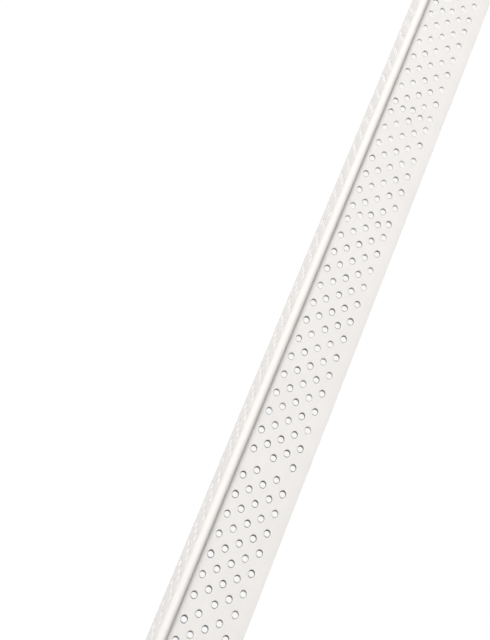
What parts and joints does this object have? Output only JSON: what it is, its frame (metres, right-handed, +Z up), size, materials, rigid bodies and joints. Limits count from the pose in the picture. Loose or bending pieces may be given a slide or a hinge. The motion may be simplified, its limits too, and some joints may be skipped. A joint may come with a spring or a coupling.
{
  "type": "drywall corner bead",
  "caption": "White PVC corner bead for plasterboard: a long right-angle strip with a round raised nose and two flanges perforated with staggered small holes.",
  "frame": {"origin": "middle of the bead's length and width, on the floor that both free edges rest on", "axes": "+X along the bead's length, +Y towards the back flange, +Z up through the nose"},
  "size_m": [1.2192, 0.0448, 0.0248],
  "materials": {
    "white_pvc": "warm white extruded PVC, semi-matte"
  },
  "bodies": {
    "root": {"corner_bead": "white_pvc"}
  },
  "joints": []
}
